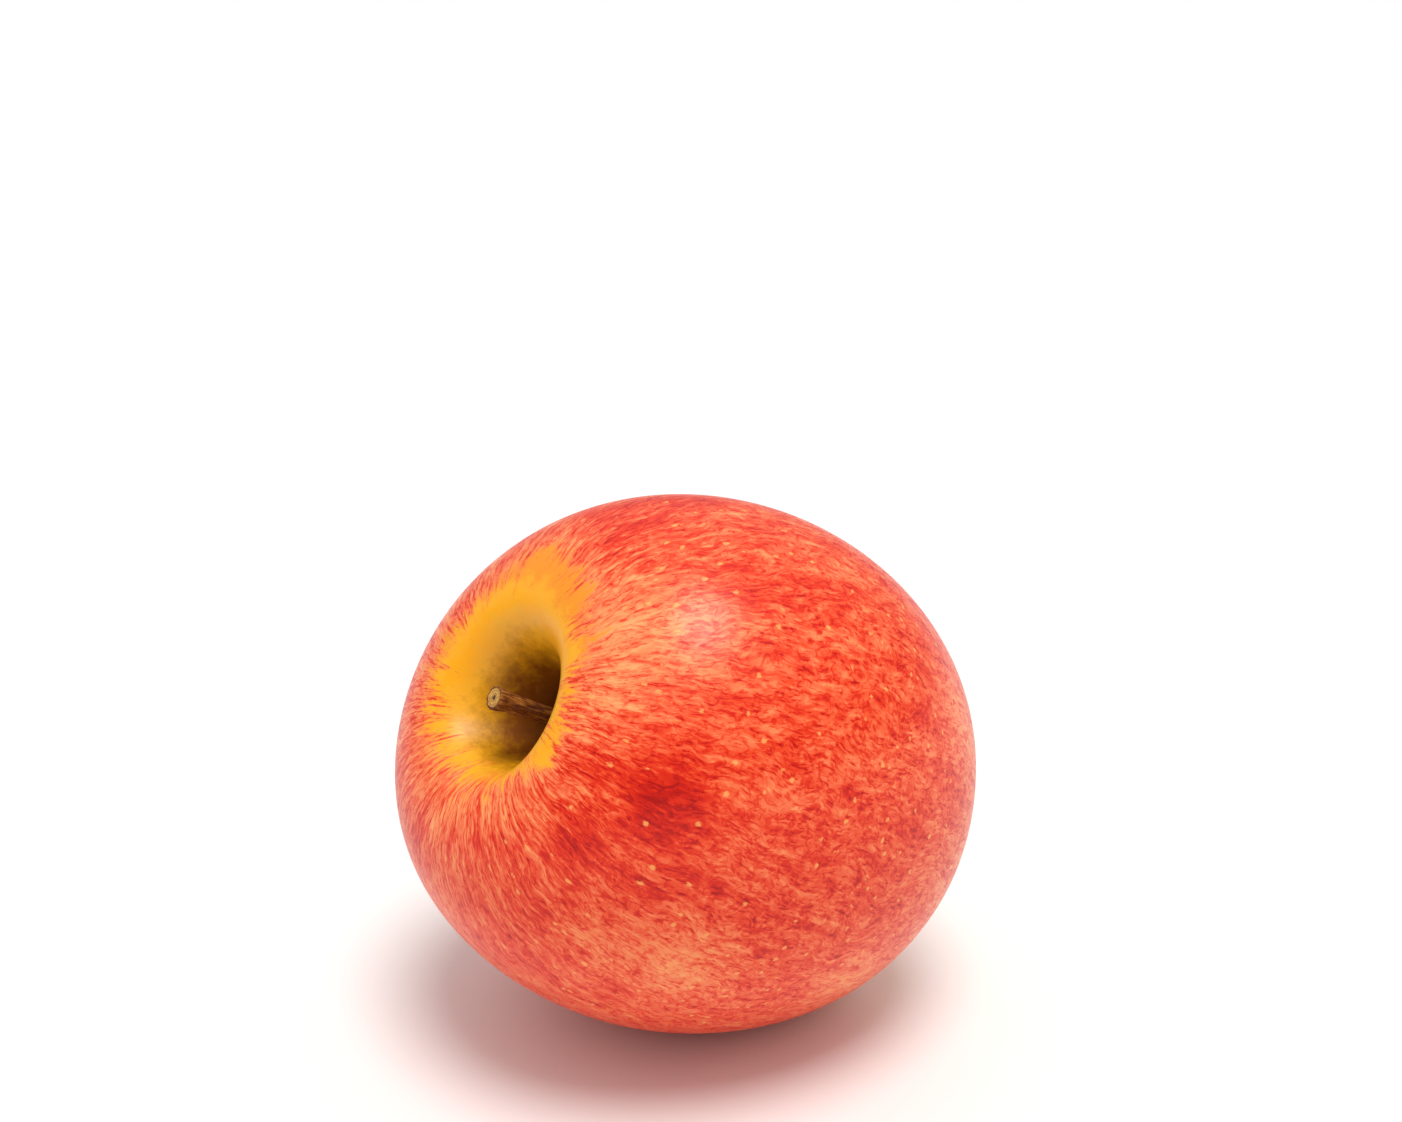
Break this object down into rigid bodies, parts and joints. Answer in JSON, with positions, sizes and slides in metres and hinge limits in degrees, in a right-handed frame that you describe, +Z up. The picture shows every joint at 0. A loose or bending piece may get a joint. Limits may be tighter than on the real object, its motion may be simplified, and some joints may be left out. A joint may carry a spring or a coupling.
{
  "type": "apple",
  "caption": "Fresh apple lying on its side on a small flat rest spot, with its woody stem in the cavity and the dried flower in the basin.",
  "frame": {"origin": "middle of the small flat rest spot, straight under the middle of the fruit's core", "axes": "+Z up; the core axis points out of the stem end towards -X and -Y and 28.6 degrees up; the viewer stands at -Y"},
  "size_m": [0.0825, 0.0782, 0.0776],
  "materials": {
    "skin": "waxy satin, red streaks over yellow",
    "stem_wood": "dry, ridged, matt",
    "dry_flower": "dry, papery, matt"
  },
  "bodies": {
    "root": {"fruit": "skin", "stem": "stem_wood", "sepal_1": "dry_flower", "sepal_2": "dry_flower", "sepal_3": "dry_flower", "sepal_4": "dry_flower", "sepal_5": "dry_flower", "stamens": "dry_flower"}
  },
  "joints": []
}
